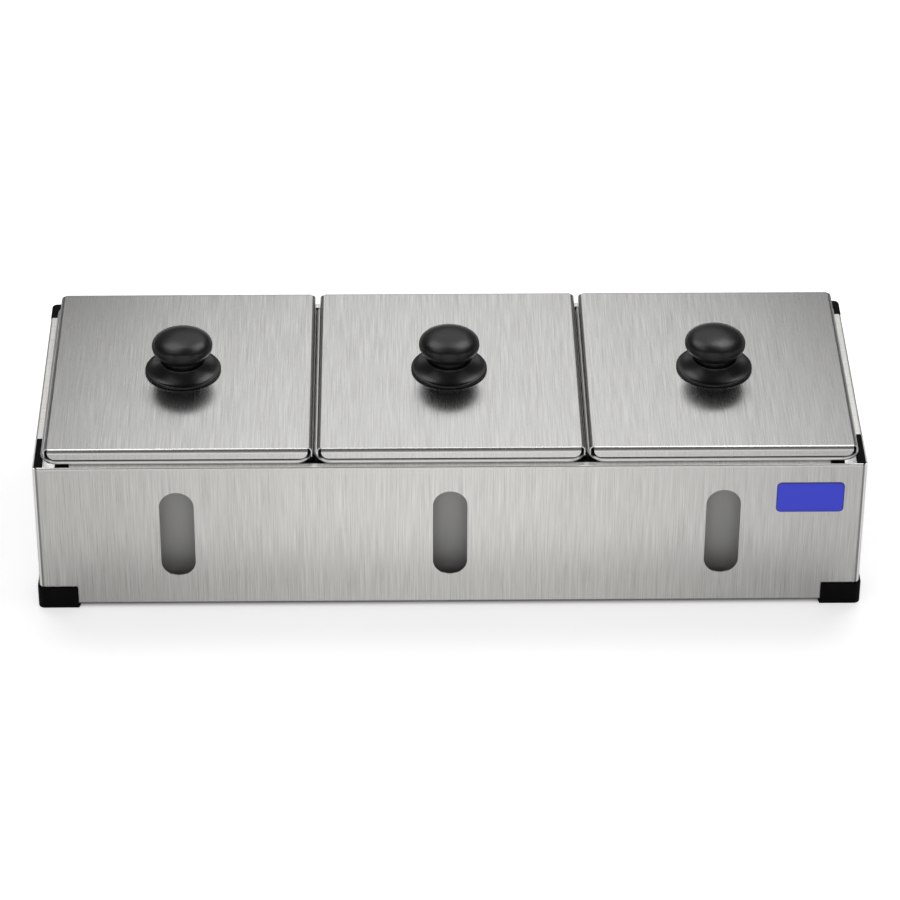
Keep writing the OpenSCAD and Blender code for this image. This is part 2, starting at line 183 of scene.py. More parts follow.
@dataclass(frozen=True)
class Finish:
    """A material that is all one finish, with the unevenness of its colour, roughness and surface."""

    name: str
    colour: tuple[float, float, float]
    roughness: float
    metallic: float = 0.0
    colour_spread: float = 0.0
    rough_spread: float = 0.05
    bump: float = 0.0
    bump_depth: float = 0.0

    def material(self) -> bpy.types.Material:
        """The finish as a material, made once."""
        known = bpy.data.materials.get(self.name)
        if known:
            return known
        made = bpy.data.materials.new(self.name)
        made.use_nodes = True
        graph = Graph(made.node_tree)
        shader = made.node_tree.nodes["Principled BSDF"]
        shader.inputs["Metallic"].default_value = self.metallic
        shader.inputs["Roughness"].default_value = self.roughness
        shader.inputs["Base Color"].default_value = (*self.colour, 1)
        self.draw(graph, shader)
        return made

    def draw(self, graph: Graph, shader: bpy.types.Node) -> None:
        """Adds the finish's own pattern.

        Args:
            graph: the material's tree.
            shader: its shader.
        """
        raise NotImplementedError

    def tint(self, graph: Graph, amount: bpy.types.NodeSocket) -> bpy.types.NodeSocket:
        """The finish's colour, made lighter and darker by a pattern.

        Args:
            graph: the material's tree.
            amount: the pattern, from 0 to 1, even at one half.

        Returns:
            The colour.
        """
        light = tuple(min(1.0, c * (1 + self.colour_spread / 2)) for c in self.colour)
        dark = tuple(c * (1 - self.colour_spread / 2) for c in self.colour)
        return graph.add("ShaderNodeMixRGB", {0: amount, 1: (*dark, 1), 2: (*light, 1)}).outputs[0]

    def rough(self, graph: Graph, amount: bpy.types.NodeSocket,
              span: tuple[float, float] = NOISE_RANGE) -> bpy.types.NodeSocket:
        """The finish's roughness, made more and less by a pattern.

        Args:
            graph: the material's tree.
            amount: the pattern.
            span: its values where the surface is roughest and smoothest.

        Returns:
            The roughness.
        """
        return graph.ramp(amount, *span, self.roughness + self.rough_spread,
                          self.roughness - self.rough_spread, smooth=False)

    def emboss(self, graph: Graph, shader: bpy.types.Node, height: bpy.types.NodeSocket) -> None:
        """Raises the surface by a pattern.

        Args:
            graph: the material's tree.
            shader: its shader.
            height: the pattern.
        """
        raised = graph.add("ShaderNodeBump", {"Strength": self.bump, "Distance": self.bump_depth,
                                              "Height": height})
        graph.put(shader.inputs["Normal"], raised.outputs[0])


@dataclass(frozen=True)
class Streaks:
    """One layer of streaks: how often it changes in a metre across and along the grain, and its share."""

    across: float
    along: float
    detail: float
    share: float


FINE = Streaks(1700, 30, 2.0, 0.6)
MIDDLING = Streaks(1050, 18, 2.0, 0.3)
BROAD = Streaks(95, 5, 1.0, 0.1)


@dataclass(frozen=True)
class BrushedSteel(Finish):
    """Sheet steel brushed one way, whose grain follows the piece's own map: across it, then along it."""

    colour_spread: float = 0.4
    bump: float = 0.5
    bump_depth: float = 0.02 * MM
    anisotropy: float = 0.8

    def draw(self, graph: Graph, shader: bpy.types.Node) -> None:
        """Adds streaks to the colour, roughness and surface, and the painted highlights and shade along each
        fold.

        Args:
            graph: the material's tree.
            shader: its shader.
        """
        grain = graph.add("ShaderNodeUVMap", uv_map=GRAIN_MAP).outputs[0]
        fine, middling, broad = (graph.noise(grain, (layer.across, layer.along, 1), layer.detail)
                                 for layer in (FINE, MIDDLING, BROAD))
        pattern = graph.math("ADD", graph.math("MULTIPLY", fine, FINE.share),
                             graph.math("ADD", graph.math("MULTIPLY", middling, MIDDLING.share),
                                        graph.math("MULTIPLY", broad, BROAD.share)))
        pattern = graph.ramp(pattern, *NOISE_RANGE, 0, 1, smooth=False)
        # The streaked colour is multiplied by the painted highlights and painted shade.
        colour = graph.scale(self.tint(graph, pattern), self.painted_light_and_shade(graph, shader))
        graph.put(shader.inputs["Base Color"], colour)
        graph.put(shader.inputs["Roughness"], self.rough(graph, pattern, (0, 1)))
        self.emboss(graph, shader, graph.math("ADD", fine, middling))
        shader.inputs["Anisotropic"].default_value = self.anisotropy
        way = graph.add("ShaderNodeTangent", direction_type="UV_MAP", uv_map=GRAIN_MAP)
        graph.put(shader.inputs["Tangent"], way.outputs[0])

    def painted_light_and_shade(self, graph: Graph, shader: bpy.types.Node) -> bpy.types.NodeSocket:
        """The painted highlights and painted shade that the colour is multiplied by.

        Args:
            graph: the material's tree.
            shader: its shader.

        Returns:
            What the colour is multiplied by.
        """
        raise NotImplementedError


@dataclass(frozen=True)
class RackSheet(BrushedSteel):
    """The rack's sheet, with its half width and half depth, painted highlight and shade lines along each
    upright fold, and flange tops with painted light.
    """

    corner: tuple[float, float] = (247.7 * MM, 91.3 * MM)
    flange_slope: tuple[float, float] = (0.85, 0.97)
    # Where the painted highlight and painted shade start and end, measured in from the rack's corner folds
    # and up from the floor.
    painted_highlight_start: tuple[float, float] = (0.65 * MM, 0.85 * MM)
    painted_highlight_end: tuple[float, float] = (1.5 * MM, 1.8 * MM)
    painted_shade_end: tuple[float, float] = (2.7 * MM, 3.2 * MM)
    foot_shade_end: tuple[float, float] = (2.8 * MM, 3.6 * MM)
    # Colour multipliers: painted highlight and painted shade lines at the folds, painted shade at the foot,
    # painted light on the flange tops.
    painted_highlight: float = 1.3
    painted_shade: float = 0.45
    painted_foot_shade: float = 0.25
    flange_metallic: float = 0.3
    painted_flange_light: float = 0.4

    def painted_light_and_shade(self, graph: Graph, shader: bpy.types.Node) -> bpy.types.NodeSocket:
        """Painted highlight and shade lines down each upright fold, painted shade at the lower edge, and
        less metallic flange tops lit with painted light.

        Args:
            graph: the material's tree.
            shader: its shader.

        Returns:
            What the colour is multiplied by.
        """
        given = graph.add("ShaderNodeTexCoord").outputs
        upward = graph.add("ShaderNodeSeparateXYZ", {0: given["Normal"]}).outputs["Z"]
        # Flange tops: made less metallic, and lightened with painted light.
        flange = graph.ramp(upward, *self.flange_slope, 0, 1)
        graph.put(shader.inputs["Metallic"], graph.ramp(flange, 0, 1, 1, self.flange_metallic))
        flange_light = graph.ramp(flange, 0, 1, 0, self.painted_flange_light)
        place = graph.add("ShaderNodeSeparateXYZ", {0: given["Object"]}).outputs
        gaps = [graph.math("SUBTRACT", half, graph.math("ABSOLUTE", place[axis]))
                for half, axis in zip(self.corner, ("X", "Y"))]
        far = graph.math("MAXIMUM", *gaps)
        # A painted highlight line down each upright fold, between painted shade lines.
        painted_highlight = graph.math("MULTIPLY", graph.ramp(far, *self.painted_highlight_start, 0.0, 1.0),
                           graph.ramp(far, *self.painted_highlight_end, self.painted_highlight, 0.0))
        painted_shade = graph.ramp(far, *self.painted_shade_end, self.painted_shade, 1.0)
        # Painted shade: the sheet darker towards its lower edge, near the floor.
        foot = graph.ramp(place["Z"], *self.foot_shade_end, self.painted_foot_shade, 1.0)
        return graph.math("MULTIPLY", foot, graph.math("ADD", graph.math("ADD", painted_highlight, painted_shade), flange_light))


@dataclass(frozen=True)
class LidSheet(BrushedSteel):
    """The lids' sheet, with painted shade: a little darker where it starts to turn down, and darkest halfway
    down the fold.
    """

    # Colour multipliers and slopes of the painted shade along each fold.
    painted_edge_shade: float = 0.68
    painted_shade: float = 0.4
    painted_edge_slope: tuple[float, float] = (0.95, 0.99)
    painted_shade_slope: tuple[float, float] = (0.64, 0.8)
    below_slope: tuple[float, float] = (0.4, 0.56)

    def painted_light_and_shade(self, graph: Graph, shader: bpy.types.Node) -> bpy.types.NodeSocket:
        """A painted shade line along each fold, found by the surface's slope.

        Args:
            graph: the material's tree.
            shader: its shader; not used.

        Returns:
            What the colour is multiplied by.
        """
        normal = graph.add("ShaderNodeTexCoord").outputs["Normal"]
        slope = graph.add("ShaderNodeSeparateXYZ", {0: normal}).outputs["Z"]
        # Painted shade: darker where the top starts to turn down, darkest halfway down the fold, plain again
        # on the skirt.
        painted_edge_shade = graph.ramp(slope, *self.painted_edge_slope, self.painted_edge_shade, 1.0)
        painted_shade = graph.ramp(slope, *self.painted_shade_slope, self.painted_shade, 1.0)
        below = graph.ramp(slope, *self.below_slope, 1.0, 0.0)
        return graph.math("MAXIMUM", graph.math("MULTIPLY", painted_edge_shade, painted_shade), below)


@dataclass(frozen=True)
class DrawnSteel(Finish):
    """Steel drawn to a deep shape and left satin, with a faint pull up the walls, and an outside that is
    rougher, less metallic and darker with painted shade.
    """

    colour_spread: float = 0.12
    rough_spread: float = 0.04
    bump: float = 0.25
    bump_depth: float = 0.02 * MM
    cloud_scale: float = 38.0
    pull_scale: tuple[float, float, float] = (900, 900, 12)
    outside_rough: float = 0.2
    outside_metal: float = 0.12
    outside_painted_shade: float = 0.67

    def draw(self, graph: Graph, shader: bpy.types.Node) -> None:
        """Adds a soft cloud and a fine upright pull.

        Args:
            graph: the material's tree.
            shader: its shader.
        """
        place = graph.add("ShaderNodeTexCoord").outputs["Object"]
        pull = graph.noise(place, self.pull_scale)
        cloud = graph.noise(place, self.cloud_scale, 3.0)
        pattern = graph.math("MULTIPLY", graph.math("ADD", cloud, pull), 0.5)
        outside = graph.add("ShaderNodeAttribute", attribute_name=OUTSIDE).outputs["Fac"]
        # Painted shade: the outside of the wall and floor darker; it is also less metallic and rougher.
        shade = graph.ramp(outside, 0, 1, 1, self.outside_painted_shade)
        graph.put(shader.inputs["Base Color"], graph.scale(self.tint(graph, pattern), shade))
        graph.put(shader.inputs["Metallic"], graph.ramp(outside, 0, 1, 1, self.outside_metal))
        rougher = graph.ramp(outside, 0, 1, 0, self.outside_rough)
        graph.put(shader.inputs["Roughness"], graph.math("ADD", self.rough(graph, pattern), rougher))
        self.emboss(graph, shader, pull)


@dataclass(frozen=True)
class MouldedPlastic(Finish):
    """Moulded plastic with a fine spark-eroded skin."""

    colour_spread: float = 0.3
    bump: float = 0.35
    bump_depth: float = 0.06 * MM
    skin_scale: float = 2000.0
    cloud_scale: float = 60.0
    gloss: float = 0.5

    def draw(self, graph: Graph, shader: bpy.types.Node) -> None:
        """Adds the mould's fine grain and a faint unevenness.

        Args:
            graph: the material's tree.
            shader: its shader.
        """
        place = graph.add("ShaderNodeTexCoord").outputs["Object"]
        cloud = graph.noise(place, self.cloud_scale)
        graph.put(shader.inputs["Base Color"], self.tint(graph, cloud))
        graph.put(shader.inputs["Roughness"], self.rough(graph, cloud))
        self.emboss(graph, shader, graph.noise(place, self.skin_scale))
        shader.inputs["Specular IOR Level"].default_value = self.gloss


@dataclass(frozen=True)
class TurnedMetal(Finish):
    """Small turned or plated metal, with fine rings from the tool."""

    colour_spread: float = 0.25
    rough_spread: float = 0.08
    bump: float = 0.2
    bump_depth: float = 0.03 * MM
    ring_scale: tuple[float, float, float] = (60, 60, 5000)
    cloud_scale: float = 400.0

    def draw(self, graph: Graph, shader: bpy.types.Node) -> None:
        """Adds fine level rings and a faint cloud.

        Args:
            graph: the material's tree.
            shader: its shader.
        """
        place = graph.add("ShaderNodeTexCoord").outputs["Object"]
        cloud = graph.noise(place, self.cloud_scale)
        graph.put(shader.inputs["Base Color"], self.tint(graph, cloud))
        graph.put(shader.inputs["Roughness"], self.rough(graph, cloud))
        self.emboss(graph, shader, graph.noise(place, self.ring_scale))


@dataclass(frozen=True)
class Enamel(Finish):
    """Glossy enamel under a clear dome, with a faint flow in its colour."""

    colour_spread: float = 0.03
    rough_spread: float = 0.02
    flow_scale: float = 140.0
    coat: float = 0.25
    coat_rough: float = 0.08

    def draw(self, graph: Graph, shader: bpy.types.Node) -> None:
        """Adds the flow, and a clear coat.

        Args:
            graph: the material's tree.
            shader: its shader.
        """
        flow = graph.noise(graph.add("ShaderNodeTexCoord").outputs["Object"], self.flow_scale)
        graph.put(shader.inputs["Base Color"], self.tint(graph, flow))
        graph.put(shader.inputs["Roughness"], self.rough(graph, flow))
        shader.inputs["Coat Weight"].default_value = self.coat
        shader.inputs["Coat Roughness"].default_value = self.coat_rough


SHEET = RackSheet("brushed_sheet", (0.618, 0.613, 0.594), 0.25, 1.0)
LID_SHEET = LidSheet("brushed_lid_sheet", (0.62, 0.617, 0.603), 0.25, 1.0, colour_spread=0.24)
PAN_STEEL = DrawnSteel("drawn_pan_steel", (0.68, 0.677, 0.665), 0.36, 1.0)
PLASTIC = MouldedPlastic("black_moulding", (0.004, 0.004, 0.0045), 0.3, gloss=0.36)
FOOT_PLASTIC = MouldedPlastic("black_foot", (0.002, 0.002, 0.002), 0.6, gloss=0.07)
ZINC = TurnedMetal("zinc_plate", (0.60, 0.60, 0.58), 0.32, 1.0)
BRASS = TurnedMetal("turned_brass", (0.66, 0.47, 0.18), 0.3, 1.0)
PLATE_BLUE = Enamel("blue_enamel", (0.032, 0.048, 0.78), 0.42)
PLATE_EDGE = Enamel("plate_edge", (0.02, 0.024, 0.30), 0.35)


# ---------------------------------------------------------------- meshes


def plain_mesh(piece: bpy.types.Object) -> None:
    """Turns a piece and its modifiers into one plain mesh.

    Args:
        piece: the object, changed in place.
    """
    bpy.context.view_layer.update()
    graph = bpy.context.evaluated_depsgraph_get()
    made = bpy.data.meshes.new_from_object(piece.evaluated_get(graph), preserve_all_data_layers=True,
                                           depsgraph=graph)
    piece.modifiers.clear()
    piece.data = made
    made.name = piece.name


def smooth(piece: bpy.types.Object, angle: float, bevel: float = 0.0, segments: int = 2) -> None:
    """Rounds a piece's edges and shades it smooth, with its flat faces kept flat.

    Args:
        piece: the object, changed in place.
        angle: edges sharper than this many degrees are rounded, or stay sharp.
        bevel: the width of the rounding, in metres.
        segments: the steps in the rounding.
    """
    mesh = piece.data
    mesh.polygons.foreach_set("use_smooth", [True] * len(mesh.polygons))
    if bevel:
        cut = piece.modifiers.new("edges", "BEVEL")
        cut.width, cut.segments, cut.limit_method = bevel, segments, "ANGLE"
        cut.angle_limit, cut.harden_normals = math.radians(angle), False
        cut.miter_outer = "MITER_ARC"
        plain_mesh(piece)
        piece.data.set_sharp_from_angle(angle=math.radians(KEPT_SHARP))
    else:
        mesh.set_sharp_from_angle(angle=math.radians(angle))
    even = piece.modifiers.new("even", "WEIGHTED_NORMAL")
    even.keep_sharp, even.weight = True, FLAT_WEIGHT
    plain_mesh(piece)


def clean(mesh: bpy.types.Mesh, dissolve: float = 0.0) -> None:
    """Merges doubles, and turns the faces of a closed mesh outwards.

    Args:
        mesh: the mesh, changed in place.
        dissolve: flat neighbours within this many degrees become one face.
    """
    work = bmesh.new()
    work.from_mesh(mesh)
    bmesh.ops.remove_doubles(work, verts=work.verts, dist=MERGE_GAP)
    if dissolve:
        bmesh.ops.dissolve_limit(work, angle_limit=math.radians(dissolve), verts=work.verts,
                                 edges=work.edges)
    if work.calc_volume(signed=True) < 0:
        bmesh.ops.reverse_faces(work, faces=work.faces)
    work.to_mesh(mesh)
    work.free()


def node_copy(node: str, name: str) -> bpy.types.Object:
    """A merged copy of a CAD node, as a piece of its own.

    Args:
        node: the CAD node.
        name: the new piece.

    Returns:
        The piece, without its body or material.
    """
    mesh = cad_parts[node].data.copy()
    mesh.materials.clear()
    mesh.name = name
    clean(mesh, dissolve=0.3)
    piece = bpy.data.objects.new(name, mesh)
    bpy.context.scene.collection.objects.link(piece)
    return piece


def map_grain(mesh: bpy.types.Mesh, grain: Grain) -> None:
    """Writes the map that the grain follows: metres across it, then along it.

    Args:
        mesh: the mesh, changed in place.
        grain: the way the sheet was brushed.
    """
    count = len(mesh.polygons)
    normals = np.empty(count * 3, np.float32)
    mesh.polygons.foreach_get("normal", normals)
    normals = normals.reshape(-1, 3)
    main, folded = (np.array(v, float) for v in grain.value)
    way = np.where(np.abs(normals @ main)[:, None] < ALONG_GRAIN, main, folded)
    along = way - normals * np.sum(way * normals, 1)[:, None]
    along /= np.linalg.norm(along, axis=1)[:, None] + 1e-12
    across = np.cross(normals, along)
    turn = np.take_along_axis(across, np.abs(across).argmax(1)[:, None], 1)
    across *= np.where(turn < 0, -1.0, 1.0)
    points = np.empty(len(mesh.vertices) * 3, np.float32)
    mesh.vertices.foreach_get("co", points)
    corners = np.empty(len(mesh.loops), np.int32)
    mesh.loops.foreach_get("vertex_index", corners)
    totals = np.empty(count, np.int32)
    mesh.polygons.foreach_get("loop_total", totals)
    face = np.repeat(np.arange(count), totals)
    at = points.reshape(-1, 3)[corners]
    uv = np.stack([np.sum(at * across[face], 1), np.sum(at * along[face], 1)], 1)
    for layer in list(mesh.uv_layers):
        mesh.uv_layers.remove(layer)
    mesh.uv_layers.new(name=GRAIN_MAP).data.foreach_set("uv", uv.astype(np.float32).ravel())


def settle(piece: bpy.types.Object, finish: Finish, body: str, slot: str, *nodes: str) -> None:
    """Gives a finished piece its material and its body, and hides the CAD nodes that it stands for.

    Args:
        piece: the object, with its place in its mesh.
        finish: what it is made of.
        body: the CAD body that it rides on.
        slot: the record's material slot; not used.
        nodes: the CAD nodes that it stands for.
    """
    if not len(piece.data.materials):
        piece.data.materials.append(finish.material())
    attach(piece, body)
    if nodes:
        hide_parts(*nodes)
    LOG.info("%s: %d faces on %s", piece.name, len(piece.data.polygons), body)


@dataclass(frozen=True)
class Ring:
    """One level of a lofted shape: how far in it is, its corner radius and its height."""

    inset: float
    corner: float
    height: float


def turn(centre: tuple[float, float], radius: float, start: float, end: float, steps: int
         ) -> list[tuple[float, float]]:
    """Points on an arc, both ends included.

    Args:
        centre: the arc's centre.
        radius: its radius.
        start: the first angle in degrees.
        end: the last angle in degrees.
        steps: the number of chords.

    Returns:
        The points.
    """
    angles = [math.radians(start + (end - start) * k / steps) for k in range(steps + 1)]
    return [(centre[0] + radius * math.cos(a), centre[1] + radius * math.sin(a)) for a in angles]


class RingLoft:
    """The node tree that lofts a skin through rectangles with round corners, or through circles."""

    _tree: bpy.types.NodeTree | None = None

    @classmethod
    def tree(cls) -> bpy.types.NodeTree:
        """The tree, built once."""
        if cls._tree is None:
            cls._tree = cls._build()
        return cls._tree

    @staticmethod
    def _build() -> bpy.types.NodeTree:
        """Builds the tree.

        Returns:
            The tree, with inputs for the size, the corner steps and the material.
        """
        tree = bpy.data.node_groups.new("ring_loft", "GeometryNodeTree")
        for name, kind in (("Section", "NodeSocketGeometry"), ("Width", "NodeSocketFloat"),
                           ("Depth", "NodeSocketFloat"), ("Corner Steps", "NodeSocketInt"),
                           ("Material", "NodeSocketMaterial")):
            tree.interface.new_socket(name, in_out="INPUT", socket_type=kind)
        tree.interface.new_socket("Skin", in_out="OUTPUT", socket_type="NodeSocketGeometry")
        g = Graph(tree)
        given = g.add("NodeGroupInput").outputs
        steps = given["Corner Steps"]
        per = g.math("ADD", steps, 1.0)
        ring = g.math("MULTIPLY", per, 4.0)
        columns = g.math("ADD", ring, 1.0)
        levels = g.add("GeometryNodeAttributeDomainSize", {0: given["Section"]}).outputs["Point Count"]
        grid = g.add("GeometryNodeMeshGrid", {"Vertices X": levels, "Vertices Y": columns}).outputs["Mesh"]
        index = g.add("GeometryNodeInputIndex").outputs[0]
        row = g.math("FLOOR", g.math("DIVIDE", g.math("ADD", index, 0.5), columns))
        column = g.math("SUBTRACT", index, g.math("MULTIPLY", row, columns))
        column = g.math("ROUND", column)
        place = g.math("MODULO", column, ring)
        quarter = g.math("FLOOR", g.math("DIVIDE", g.math("ADD", place, 0.5), per))
        step = g.math("SUBTRACT", place, g.math("MULTIPLY", quarter, per))
        angle = g.math("MULTIPLY", math.pi / 2, g.math("ADD", quarter, g.math("DIVIDE", step, steps)))
        middle = g.math("MULTIPLY", math.pi / 2, g.math("ADD", quarter, 0.5))

        def sampled(name: str) -> bpy.types.NodeSocket:
            """A value of the section's point for this row.

            Args:
                name: the attribute.

            Returns:
                The value.
            """
            named = g.add("GeometryNodeInputNamedAttribute", {"Name": name}, data_type="FLOAT")
            found = g.add("GeometryNodeSampleIndex",
                          {"Geometry": given["Section"], "Value": named.outputs[0], "Index": row},
                          data_type="FLOAT", domain="POINT")
            return found.outputs[0]

        inset, corner, height = sampled("inset"), sampled("corner"), sampled("height")
        ends = []
        for size, wave in (("Width", "COSINE"), ("Depth", "SINE")):
            half = g.math("SUBTRACT", g.math("SUBTRACT", g.math("DIVIDE", given[size], 2.0), inset), corner)
            side = g.math("SIGN", g.math(wave, middle))
            ends.append(g.math("ADD", g.math("MULTIPLY", half, side),
                               g.math("MULTIPLY", corner, g.math(wave, angle))))
        point = g.add("ShaderNodeCombineXYZ", {0: ends[0], 1: ends[1], 2: height}).outputs[0]
        skin = g.add("GeometryNodeSetPosition", {"Geometry": grid, "Position": point}).outputs[0]
        skin = g.add("GeometryNodeMergeByDistance", {"Geometry": skin, "Distance": MERGE_GAP}).outputs[0]
        skin = g.add("GeometryNodeRealizeInstances", {"Geometry": skin}).outputs[0]
        skin = g.add("GeometryNodeSetMaterial", {"Geometry": skin, "Material": given["Material"]}).outputs[0]
        g.add("NodeGroupOutput", {0: skin})
        return tree

    @classmethod
    def make(cls, name: str, rings: Sequence[Ring], size: tuple[float, float], steps: int,
             finish: Finish, centre: tuple[float, float, float]) -> bpy.types.Object:
        """Lofts a piece through its rings.

        Args:
            name: the piece.
            rings: its levels in order.
            size: the outer width and depth, which the insets count from.
            steps: chords in each corner.
            finish: what it is made of.
            centre: where its middle goes.

        Returns:
            The piece as a plain mesh, with any flat ends closed.
        """
        section = bpy.data.meshes.new(name)
        section.vertices.add(len(rings))
        for key in ("inset", "corner", "height"):
            values = np.array([getattr(r, key) for r in rings], np.float32)
            section.attributes.new(key, "FLOAT", "POINT").data.foreach_set("value", values)
        piece = bpy.data.objects.new(name, section)
        bpy.context.scene.collection.objects.link(piece)
        loft = piece.modifiers.new("loft", "NODES")
        loft.node_group = cls.tree()
        given = {"Width": float(size[0]), "Depth": float(size[1]), "Corner Steps": steps,
                 "Material": finish.material()}
        for item in loft.node_group.interface.items_tree:
            if item.in_out == "INPUT" and item.name in given:
                loft[item.identifier] = given[item.name]
        plain_mesh(piece)
        work = bmesh.new()
        work.from_mesh(piece.data)
        rim = [e for e in work.edges if e.is_boundary]
        if rim:
            bmesh.ops.holes_fill(work, edges=rim, sides=0)
        if work.calc_volume(signed=True) < 0:
            bmesh.ops.reverse_faces(work, faces=work.faces)
        work.to_mesh(piece.data)
        work.free()
        piece.data.transform(Matrix.Translation(Vector(centre)))
        return piece


# ---------------------------------------------------------------- the caddy


@dataclass
class Rack:
    """The folded sheet rack with its plastic feet and corner pieces."""

    body: str = "rack"
    sheet_edge: float = 0.12 * MM
    foot_edge: float = 0.4 * MM
    corner_edge: float = 0.25 * MM
    foot_drop: float = 1.6 * MM
    lip_w: float = 4.5 * MM
    notch: tuple[float, float, float] = (16 * MM, 20 * MM, 8 * MM)
    panels: dict[str, Grain] = field(default_factory=lambda: {
        "front_panel": Grain.UPRIGHT_FRONT, "back_panel": Grain.UPRIGHT_FRONT,
        "left_side_panel": Grain.UPRIGHT_END, "right_side_panel": Grain.UPRIGHT_END})

    def build(self) -> None:
        """Builds and dresses every piece of the rack."""
        for node, grain in self.panels.items():
            self.panel(node, grain)
        for corner in CORNERS:
            self.moulding("foot_" + corner, self.foot_edge, self.foot_drop)
            self.moulding("corner_" + corner, self.corner_edge)

    def panel(self, node: str, grain: Grain) -> None:
        """One folded panel.

        Args:
            node: the CAD node that it stands for.
            grain: the way it was brushed.
        """
        piece = node_copy(node, node + "_sheet")
        if node == "front_panel":
            self.cut_notches(piece)
        smooth(piece, 30, self.sheet_edge, 1)
        map_grain(piece.data, grain)
        settle(piece, SHEET, self.body, "brushed_steel_sheet", node)

    def cut_notches(self, piece: bpy.types.Object) -> None:
        """Cuts the flange back to a narrow lip where two pans meet.

        Args:
            piece: the front panel, changed in place.
        """
        low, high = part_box("front_panel")
        boxes = [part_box("pan_" + side) for side in SIDES]
        centres = [(box[0].x + box[1].x) / 2 for box in boxes]
        for first, second in zip(centres, centres[1:]):
            middle = Vector(((first + second) / 2, low.y + self.lip_w + self.notch[1] / 2, high.z))
            work = bmesh.new()
            place = Matrix.Translation(middle) @ Matrix.Diagonal((*self.notch, 1))
            bmesh.ops.create_cube(work, size=1, matrix=place)
            mesh = bpy.data.meshes.new("notch")
            work.to_mesh(mesh)
            work.free()
            tool = bpy.data.objects.new("notch", mesh)
            bpy.context.scene.collection.objects.link(tool)
            cut = piece.modifiers.new("notch", "BOOLEAN")
            cut.operation, cut.solver, cut.object = "DIFFERENCE", "EXACT", tool
            plain_mesh(piece)
            bpy.data.objects.remove(tool)
            bpy.data.meshes.remove(mesh)

    def moulding(self, node: str, edge: float, drop: float = 0.0) -> None:
        """One plastic piece at a corner.

        Args:
            node: the CAD node that it stands for.
            edge: how far its edges are rounded.
            drop: how much lower than the CAD node's its top is.
        """
        piece = node_copy(node, node + "_moulding")
        top = max(vertex.co.z for vertex in piece.data.vertices)
        for vertex in piece.data.vertices:
            if vertex.co.z > top - LEVEL_GAP:
                vertex.co.z -= drop
        smooth(piece, 40, edge, 3)
        settle(piece, FOOT_PLASTIC, self.body, "black_plastic", node)


@dataclass
class Pan:
    """A drawn pan with a rolled rim."""

    side: str
    pitch: float
    floor_z: float
    width: float = 162 * MM
    depth: float = 176 * MM
    height: float = 100 * MM
    sheet: float = 0.7 * MM
    rim_corner: float = 11 * MM
    bead: float = 1.4 * MM
    flat: float = 8.5 * MM
    draft: float = 4 * MM
    wall_corner: float = 22 * MM
    fillet: float = 16 * MM
    fold: float = 2 * MM
    steps: int = 18

    def wall_inset(self, z: float) -> float:
        """How far in the outside of the wall is.

        Args:
            z: the height, from the rim down.

        Returns:
            The distance from the rim's outer edge.
        """
        return self.flat - self.draft * z / self.height

    def floor_rings(self, skin: float) -> list[Ring]:
        """The fillet between the floor and the wall.

        Args:
            skin: how far this skin is inside the outer one.

        Returns:
            The rings, from the floor up.
        """
        base = self.fillet - self.height
        centre = self.wall_inset(base) + self.fillet
        rings = []
        for k in range(13):
            a = math.pi / 2 * k / 12
            e = (self.fillet - skin) * math.sin(a)
            rings.append(Ring(centre - e, self.wall_corner - self.fillet + e,
                              base - (self.fillet - skin) * math.cos(a)))
        return rings

    def fold_rings(self, skin: float) -> list[Ring]:
        """The fold between the wall and the rim's flat.

        Args:
            skin: how far this skin is inside the outer one.

        Returns:
            The rings, from the wall up.
        """
        centre = self.wall_inset(-self.fold) - self.fold
        rings = []
        for k in range(7):
            a = math.pi / 2 * k / 6
            e = (self.fold + skin) * math.cos(a)
            rings.append(Ring(centre + e, self.wall_corner + self.fold - e,
                              -self.fold - self.sheet + (self.fold + skin) * math.sin(a)))
        return rings

    def bead_rings(self) -> list[Ring]:
        """The bead, from under the flat, round its outside and up to its top."""
        start = math.degrees(math.asin((self.bead - self.sheet) / self.bead))
        return [Ring(x, self.rim_corner - x, z)
                for x, z in turn((self.bead, -self.bead), self.bead, start, -270, 22)]

    def build(self) -> None:
        """Lofts the pan through its rings and dresses it."""
        rings = (self.floor_rings(0) + self.fold_rings(0) + self.bead_rings()
                 + self.fold_rings(self.sheet)[::-1] + self.floor_rings(self.sheet)[::-1])
        piece = RingLoft.make("pan_" + self.side + "_drawn", rings, (self.width, self.depth), self.steps,
                              PAN_STEEL, (self.pitch, 0, self.floor_z + self.height))
        smooth(piece, 50)
        self.mark_outside(piece.data)
        settle(piece, PAN_STEEL, self.side + "_pan", "brushed_steel_sheet", "pan_" + self.side)

    def mark_outside(self, mesh: bpy.types.Mesh) -> None:
        """Marks the outside of the wall and floor, below the rim, for its painted shade and rougher finish.

        Args:
            mesh: the pan's mesh, changed in place.
        """
        middle = Vector((self.pitch, 0, self.floor_z + self.height / 2))
        wall_top = self.floor_z + self.height - self.fold - self.sheet
        marks = [float(vertex.normal.dot(vertex.co - middle) > 0 and vertex.co.z < wall_top)
                 for vertex in mesh.vertices]
        mesh.attributes.new(OUTSIDE, "FLOAT", "POINT").data.foreach_set("value", marks)


@dataclass
class Lid:
    """A loose lid folded from one sheet."""

    side: str
    edge: float = 0.15 * MM

    def build(self) -> None:
        """Builds the lid's sheet and dresses it."""
        piece = node_copy("lid_" + self.side, "lid_" + self.side + "_sheet")
        smooth(piece, 30, self.edge, 1)
        map_grain(piece.data, Grain.DEPTH)
        settle(piece, LID_SHEET, self.side + "_lid", "brushed_steel_sheet", "lid_" + self.side)


